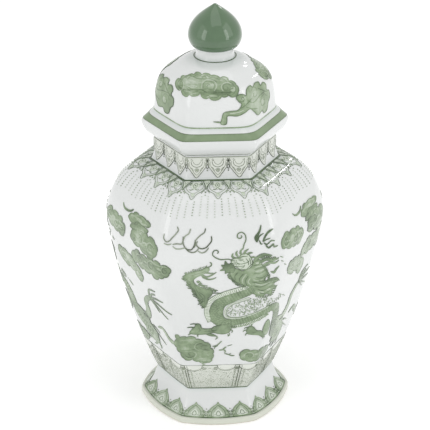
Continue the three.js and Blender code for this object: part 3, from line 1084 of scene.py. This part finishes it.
def paint_flames():
    lines = on_body()
    for points, tone in (
        ([(-60, 209), (-61, 204), (-58, 201), (-54, 202), (-50, 206), (-46, 210), (-43, 214),
          (-44, 218)], 0.7),
        ([(-50, 199), (-45, 200), (-40, 200), (-38, 204), (-36, 208), (-32, 211), (-30, 216)], 0.7),
        ([(-38, 208), (-38, 200), (-35, 195), (-30, 194), (-27, 198), (-25, 204), (-20, 209),
          (-16, 212), (-15, 216)], 0.9),
        ([(-26, 204), (-24, 198), (-20, 195), (-15, 196), (-11, 200), (-9, 203), (-9, 208)], 0.9),
        ([(-61, 199), (-56, 198), (-51, 199.5)], 0.5),
        ([(-50, 197), (-46, 194.5), (-40, 195), (-36, 196.5)], 0.5),
        ([(-37, 197), (-33, 192.5), (-28, 191), (-24, 193), (-22, 196)], 0.7),
        ([(-23, 192.5), (-19, 190.5), (-15, 192), (-12, 196)], 0.6),
        ([(-27, 196), (-25, 200), (-23, 203)], 0.8),
    ):
        lines.stroke(points, 1.2, tone)
    lines.fire("pearl_flames", "jar", fine_enamel)
    lines = on_body()
    for points, width in (
        ([(38, 200), (36.5, 205), (39, 209), (41, 213), (42, 218)], [3, 3.4, 2.6, 2, 1]),
        ([(38, 201), (40, 206), (45, 209)], [2.4, 1.6, 0.8]),
        ([(44, 200), (47, 206), (51, 210), (57, 212)], [1.6, 2.2, 2.6, 1.2]),
        ([(44, 200), (48, 202), (53, 203)], 1.2),
        ([(45, 199), (49, 197), (54, 200), (59, 199)], 1.4),
        ([(47, 197), (51, 193), (57, 196), (58, 193), (64, 193)], [1.4, 2, 1.6, 1.8, 1.0]),
        ([(40, 202), (42, 198), (44, 198)], 1.4),
    ):
        lines.stroke(points, width, 0.85)
    for twig in ([(68, 179), (71, 177), (73, 176)], [(70, 173), (74, 170)], [(76, 166), (80, 163)],
                 [(71, 126), (75, 123), (78, 121)], [(83, 118), (86, 115), (88, 113)]):
        lines.stroke(twig, 1.1, 0.6)
    lines.fire("flame_tongues", "jar")


def paint_dragons():
    """A dragon on every second side, that winds over the corner to its right."""
    lines = on_body()

    spine = [(36, 142, 12), (23, 136.5, 12.5), (9, 129.5, 13), (0, 123, 14), (-3.5, 113, 15),
             (-2, 102, 15), (5, 96, 13), (15, 96.5, 10), (29, 100, 9), (40, 105.5, 9),
             (50, 110, 8.5), (60, 112, 10), (68, 107, 13), (70.5, 97, 13.5), (69.5, 85, 14),
             (69, 74, 14), (76, 63, 16), (84, 56, 14)]
    path = [point[:2] for point in spine]
    lines.stroke(path, [point[2] for point in spine], 0.55, FIRST_COAT, taper=0.7, rim=0.3)
    curve, knots = smooth(path, step=3.4)
    widths = np.interp(knots, np.arange(len(path)), [point[2] for point in spine])
    along, beside = directions(curve)
    for step, (middle, width) in enumerate(zip(curve, widths)):
        for row in range(4):
            out = beside[step] * width * ((row + 0.5 * (step % 2)) / 4.4 - 0.42)
            scale = middle + out
            tip = along[step]
            half = beside[step] * 1.5
            lines.stroke([scale - half, scale + tip * 1.7, scale + half], 0.5, 0.75)

    upper = [(30, 145.5), (15, 140.5), (0, 134.5), (-9, 128), (-13, 118), (-13, 108), (-10.5, 98)]
    lower = [(11, 88.5), (20, 90.5), (31, 94), (41, 99), (50, 104)]
    for belly, reach in ((upper, 4.2), (lower, 3.4)):
        lines.stroke(belly, reach + 0.6, 0.04, SECOND_COAT)
        lines.ticks(belly, reach, 2.2, 0.5, 0.65)
    lines.stroke([(31, 148), (15, 143.5), (0, 137.5), (-11, 130), (-15.5, 118), (-15.5, 108),
                  (-12, 97)], 0.5, 0.7)
    lines.fur([(13, 90), (22, 92), (32, 95.5), (42, 100.5), (52, 105.5)], 2.6, 2.0, way=-1)
    lines.stroke([(31, 130.5), (20, 126), (11, 121.5), (6, 113), (7, 105), (13, 102), (22, 102.5),
                  (33, 106.5), (43, 111), (54, 115.5)], 1.5, 0.2, SECOND_COAT)
    lines.stroke([(33, 129), (22, 124.8), (12.5, 120.5), (7.5, 113), (8.3, 106), (14, 103.5),
                  (23, 104), (34, 108), (44, 112.5), (55, 117)], 0.4, 0.55)

    lace = np.array([(8, 105), (8, 113), (13, 120), (25, 125), (38, 133), (48, 129), (62, 124),
                     (76, 122), (84, 117), (74, 117), (60, 118.5), (50, 116), (40, 112),
                     (30, 108), (18, 105)], float)
    specks = chance.uniform((6, 103), (86, 134), (900, 2))
    for place in specks[inside_outline(specks, lace)]:
        lines.dot(place, chance.uniform(0.7, 1.5), chance.uniform(0.2, 0.65), corners=5)

    hind = [(64, 78), (62, 69), (66, 62), (71, 57), (69, 51), (74, 46), (83, 43), (90, 46),
            (95, 55), (97, 64), (92, 70), (93, 78), (85, 84), (74, 86)]
    lines.shape(hind, 0.55, 0.9, 0.85, SECOND_COAT)
    tail = [(84, 77, 10), (96, 82, 8.5), (103, 91, 8), (106, 101, 7), (114, 109, 6), (124, 114, 5)]
    lines.stroke([p[:2] for p in tail], [p[2] for p in tail], 0.55, SECOND_COAT, rim=0.3)
    for tip, bend in (((140, 124), (131, 121)), ((152, 120), (136, 118)), ((158, 107), (140, 112)),
                      ((147, 98), (136, 106)), ((134, 101), (128, 108)), ((143, 129), (128, 125))):
        lines.stroke([(122, 113), bend, tip], [2.6, 2.2, 1.0], 0.7)
    for claw in ([(76, 47), (70, 44), (66, 46)], [(82, 44), (78, 39), (73, 38)],
                 [(88, 46), (88, 40), (85, 36)], [(94, 66), (100, 60), (108, 51)],
                 [(95, 70), (101, 68), (106, 64)]):
        lines.stroke(claw, [2.4, 1.6, 0.7], 0.8)

    leg = [(12, 94), (3, 93), (-5, 91), (-9, 88), (-18, 88.5), (-20, 94), (-24, 95.5), (-26, 91),
           (-29, 87), (-31, 82), (-25, 80), (-14, 80), (-7, 82), (0, 80), (7, 80), (12, 85)]
    lines.shape(leg, 0.6, 0.8, 0.85, SECOND_COAT)
    lines.wash([(-14, 80.5), (-8, 80.5), (-4, 78), (-3, 76), (-8, 76.5), (-12, 78)], 0.75,
               THIRD_COAT)
    for claw in ([(-26, 90), (-30, 90.5), (-34, 90)], [(-23, 94), (-27, 95.5), (-31, 94.5)],
                 [(-28, 82), (-31, 80.5), (-33, 79)], [(-3, 77), (-2, 74), (-4, 71.5)],
                 [(-21, 81), (-23, 78), (-22, 76)]):
        lines.stroke(claw, [1.8, 1.3, 0.6], 0.85)
    for fur in ([(12, 92), (16, 90), (19, 91)], [(11, 86), (14, 84), (13, 81)],
                [(10, 82), (11, 78), (9, 76)], [(-9, 87), (-6, 85), (-2, 86)],
                [(-16, 84), (-10, 84.5), (-5, 84)], [(-22, 90), (-20, 86), (-23, 83)]):
        lines.stroke(fur, 0.9, 0.85)

    paw = [(29, 85), (32, 90), (36, 88.5), (40, 83), (46, 81), (50, 74), (51, 70), (47, 72),
           (42, 76), (35, 77.5), (30, 79)]
    thigh = [(48, 77), (48, 86), (52, 94), (56, 94.5), (59, 87), (58, 78), (54, 73)]
    lines.shape(thigh, 0.5, 0.8, 0.85, SECOND_COAT)
    lines.shape(paw, 0.68, 0.8, 0.9, THIRD_COAT)
    for claw in ([(31, 88), (28, 88), (26, 86)], [(30, 84), (27, 84), (25, 82)],
                 [(30, 80), (28, 78), (28, 76)], [(34, 89), (34, 92), (36, 94)],
                 [(44, 75), (48, 71), (49, 68)], [(41, 82), (37, 80), (35, 81)]):
        lines.stroke(claw, [1.8, 1.2, 0.6], 0.85)

    lines.fire("dragon_bodies", "jar")
    lines = on_body()

    foreleg = [(-15, 119), (-20, 123), (-18, 129), (-24, 134), (-26, 142), (-30, 148), (-31, 153),
               (-36, 158), (-39, 160.5), (-34, 164), (-28, 167), (-20, 169), (-14, 172.5),
               (-11.5, 171), (-12, 167.5), (-18, 163.5), (-25, 159.5), (-27.5, 155), (-24, 149),
               (-17, 145), (-8, 141), (-9, 135), (-12, 131), (-13, 125)]
    lines.shape(foreleg, 0.6, 0.6, 0.8, SECOND_COAT)
    lines.fur([(-15, 120), (-19, 124), (-19, 129), (-24, 135), (-26, 142), (-30, 148), (-32, 153),
               (-37, 159)], 3.6, 2.2, lean=0.5)
    lines.fur([(-24, 154), (-20, 149), (-13, 144), (-5, 140)], 3.0, 2.2)
    lines.fur([(-36, 164), (-28, 168), (-20, 170.5), (-14, 173)], 1.8, 2.4)
    for line, width in (
        ([(-14, 172), (-10, 174), (-9, 177), (-11, 179)], 1.2),
        ([(-20, 163), (-14, 160), (-9, 162), (-4, 166)], [2.4, 1.8, 1.4, 0.8]),
        ([(-19, 161), (-13, 157), (-8, 157), (-4, 159)], [2.4, 1.8, 1.4, 0.8]),
        ([(-16, 166), (-10, 164.5), (-7, 165)], [2, 1.4, 0.8]),
        ([(-23, 150), (-19, 149), (-16, 146)], [2.2, 1.6, 0.8]),
        ([(-16, 128), (-21, 124), (-23, 123)], 1.2), ([(-8, 138), (-3, 138), (2, 137)], 1.0),
        ([(-30, 162), (-22, 165), (-14, 168)], 0.7), ([(-27, 150), (-23, 140), (-17, 130)], 0.7),
        ([(-28, 158), (-26, 150), (-20, 143)], 0.6), ([(-22, 140), (-16, 134), (-16, 124)], 0.6),
    ):
        lines.stroke(line, width, 0.85)

    mane = [(12, 172), (10, 165), (12, 158), (17, 152), (25, 147), (31, 139), (38, 134),
            (45, 131.5), (49, 134), (56, 132.5), (58, 138), (62, 141), (58, 146), (67, 148),
            (62, 153), (51, 151.5), (46, 154), (51, 160), (48, 166), (44, 172), (41, 180),
            (33, 176), (24, 167)]
    lines.shape(mane, 0.5, 0.8, 0.8, SECOND_COAT)
    for tuft, width in (
        ([(34, 178), (40, 184), (46, 186), (56, 183)], [4.5, 4, 3, 1.2]),
        ([(40, 176), (48, 180), (57, 177), (66, 178)], [5, 4, 3, 1.2]),
        ([(44, 172), (52, 175), (60, 173), (66, 175)], [4, 3, 2, 1]),
        ([(54, 163), (59, 161), (62, 164), (67, 167)], [1, 3.5, 3, 1]),
        ([(47, 150), (56, 152), (64, 151), (69, 146)], [5, 4, 2.6, 1]),
        ([(52, 143), (59, 143), (64, 140)], [4, 2.6, 1]),
        ([(12, 158), (13, 154), (17, 152)], 1.2), ([(16, 153), (17, 149), (21, 148)], 1.2),
        ([(10, 162), (9, 158), (12, 156)], 1.2),
    ):
        lines.stroke(tuft, width, 0.65, THIRD_COAT, rim=0.25)
    for edge, way in (([(12, 172), (10, 165), (12, 158), (17, 152), (25, 147)], -1),
                      ([(38, 134), (45, 131.5), (56, 132.5), (62, 141)], -1),
                      ([(60, 146), (52, 152), (50, 160), (45, 170)], -1),
                      ([(42, 182), (50, 181), (60, 178)], 1)):
        lines.fur(edge, 2.8, 2.2, way=way)
    for lock in ([(34, 173), (40, 175), (46, 181)], [(35, 168), (43, 170), (53, 172.5)],
                 [(35, 163), (42, 163), (48, 167)], [(37, 158), (43, 156.5), (49, 160)],
                 [(33, 152), (42, 149.5), (52, 151.5)], [(34, 147), (43, 144.5), (55, 149)],
                 [(29, 160), (26, 153), (29, 146)], [(24, 163), (20, 157), (21, 151)],
                 [(18, 165), (15, 160), (16, 155)], [(39, 142), (45, 139.5), (56, 143)],
                 [(41, 137), (47, 135), (54, 138)], [(40, 153), (46, 152), (48, 156)]):
        lines.stroke(lock, [1.5, 1.1, 0.5], 0.8)
    for lock in ([(36, 165.5), (43, 166.5), (48, 169)], [(34, 155), (40, 153), (46, 155)],
                 [(27, 163), (23, 155), (24, 149)], [(36, 149.6), (44, 147), (54, 150)],
                 [(36, 171), (42, 172.5), (48, 175)], [(31, 157), (29, 152), (32, 148)]):
        lines.stroke(lock, [1.6, 1.4, 0.7], 0.3, THIRD_COAT)
    for patch in (((43, 137), 7, 3), ((52, 140), 6, 3.4), ((40, 176), 7, 3), ((54, 150), 9, 2.6)):
        lines.wash(oval(*patch), 0.25, THIRD_COAT)

    jaw = [(12, 177), (8, 176), (5, 180), (4, 175), (1, 175), (3, 171), (0, 168), (5, 168),
           (5, 164), (9, 166), (13, 165), (15, 170)]
    lines.shape(jaw, 0.75, 0.8, 0.95, THIRD_COAT)
    face = [(11, 179), (12.5, 174.5), (17, 172), (21, 169), (29, 169.5), (33, 175), (32, 182),
            (28, 188), (22, 188), (19, 184.5), (15, 183.5), (12, 182)]
    lines.shape(face, 0.12, 0.8, 0.9, THIRD_COAT)
    for crest in ([(15, 183), (12, 186), (13, 189.5)], [(18, 185), (16, 189), (17.5, 192)],
                  [(21, 187), (20.5, 191), (23, 194.5)], [(24, 187.5), (25.5, 191), (29, 193.5)],
                  [(27, 187), (30, 189), (33.5, 189)], [(31, 183), (34, 184), (37, 183)]):
        lines.stroke(crest, [3, 2.2, 0.7], 0.75)
    for line, width in (
        ([(14.5, 184), (19, 183.5), (23, 185.5), (28, 185)], [0.7, 1.9, 1.5, 0.6]),
        ([(11.5, 177), (16, 177.8), (21, 176), (27, 177.5), (30, 180)], 0.9),
        ([(13, 176.8), (14, 174.6), (15.2, 177), (16.4, 174.6), (17.6, 177), (18.8, 174.6),
          (20, 176.2)], 0.5),
        ([(14, 173.6), (19, 172.8), (25, 173.5)], 0.8), ([(21, 170.5), (24, 172), (25, 175)], 0.7),
        ([(26, 183), (28.5, 179), (29, 174)], 0.8), ([(29.5, 183), (31, 179), (31, 175)], 0.8),
        ([(17, 181.5), (16, 179.5), (17.5, 178.6)], 0.6), ([(23, 180), (25, 178.4)], 0.7),
    ):
        lines.stroke(line, width, 0.85)
    lines.stroke(curl((13.6, 180.4), 1.5, 300, 1.0), 0.6, 0.9)
    lines.stroke([(18.6, 181.2), (21, 182.6), (23.4, 181.4), (21, 180)], 0.6, 1.0, closed=True)
    lines.dot((21, 181.3), 1.5, 1.0)
    lines.stroke([(13, 180), (8, 182.3), (1, 182), (-4, 184), (-8, 188), (-7, 192), (-4, 193),
                  (-2, 191), (-3.5, 189.4)], 1.1, 0.85)
    lines.stroke([(23, 193), (24, 198), (26, 203), (25.5, 208), (22, 211), (18, 209.5),
                  (17.5, 206), (20, 204.8), (22, 206.5), (21, 208)], 1.1, 0.85)
    lines.fire("dragon_heads", "jar")


paint_lid_bands()
paint_lid_clouds()
paint_clouds()
paint_flames()
paint_dragons()
paint_neck()
paint_shoulder()
paint_waist()
paint_foot()

# ---- Camera, floor and light ----

CAMERA_TURN = math.radians(-3)
CAMERA_RISE = math.radians(25.9)
CAMERA_DISTANCE = 2.110
CAMERA_TARGET = Vector((0, 0, 0.2154))
JAR_MIDDLE = Vector((0, 0, 0.25))
WHITE = (1.0, 1.0, 1.0, 1.0)


def heading(turn, rise):
    """The direction out from the jar at angles in radians from its front and above the floor."""
    return Vector((math.sin(turn) * math.cos(rise), -math.cos(turn) * math.cos(rise),
                   math.sin(rise)))


def make_camera():
    lens = bpy.data.cameras.new("camera")
    lens.lens = 165
    lens.sensor_width = 36
    camera = bpy.data.objects.new("camera", lens)
    scene.collection.objects.link(camera)
    back = heading(CAMERA_TURN, CAMERA_RISE)
    camera.location = CAMERA_TARGET + back * CAMERA_DISTANCE
    camera.rotation_euler = (-back).to_track_quat("-Z", "Y").to_euler()
    scene.camera = camera


def make_floor():
    bpy.ops.object.select_all(action="DESELECT")
    bpy.ops.mesh.primitive_circle_add(vertices=96, radius=6, fill_type="NGON")
    floor = bpy.context.object
    floor.name = "floor"
    paper = Finish("white_paper", Base_Color=colour(254, 254, 254), Roughness=0.9,
                   Specular_IOR_Level=0.1, Emission_Color=WHITE, Emission_Strength=0.1)
    floor.data.materials.append(paper.material)


def softbox(name, turn, rise, distance, size, power):
    """An area light that faces the jar's middle from a direction given in degrees."""
    lamp = bpy.data.lights.new(name, "AREA")
    lamp.shape = "RECTANGLE"
    lamp.size, lamp.size_y = size
    lamp.energy = power
    light = bpy.data.objects.new(name, lamp)
    scene.collection.objects.link(light)
    back = heading(math.radians(turn), math.radians(rise))
    light.location = JAR_MIDDLE + back * distance
    light.rotation_euler = (-back).to_track_quat("-Z", "Y").to_euler()


def make_light():
    world = bpy.data.worlds.new("studio")
    world.use_nodes = True
    sky = world.node_tree.nodes["Background"]
    sky.inputs["Color"].default_value = WHITE
    sky.inputs["Strength"].default_value = 0.86
    scene.world = world
    softbox("left_wall", -70, 25, 2.2, (1.2, 1.8), 2.5)
    softbox("right_wall", 65, 30, 2.2, (1.2, 1.8), 5)
    softbox("sky_panel", 10, 80, 2.0, (1.4, 1.4), 4)
    softbox("left_strip", -52, 20, 2.0, (0.6, 1.5), 4.5)
    softbox("right_strip", 50, 20, 2.0, (0.5, 1.5), 4)
    softbox("upper_spot", 147, 31, 2.6, (0.1, 0.1), 1.0)
    softbox("lower_spot", 139, 35.5, 2.6, (0.06, 0.24), 1.4)
    scene.view_settings.view_transform = "Standard"


make_camera()
make_floor()
make_light()
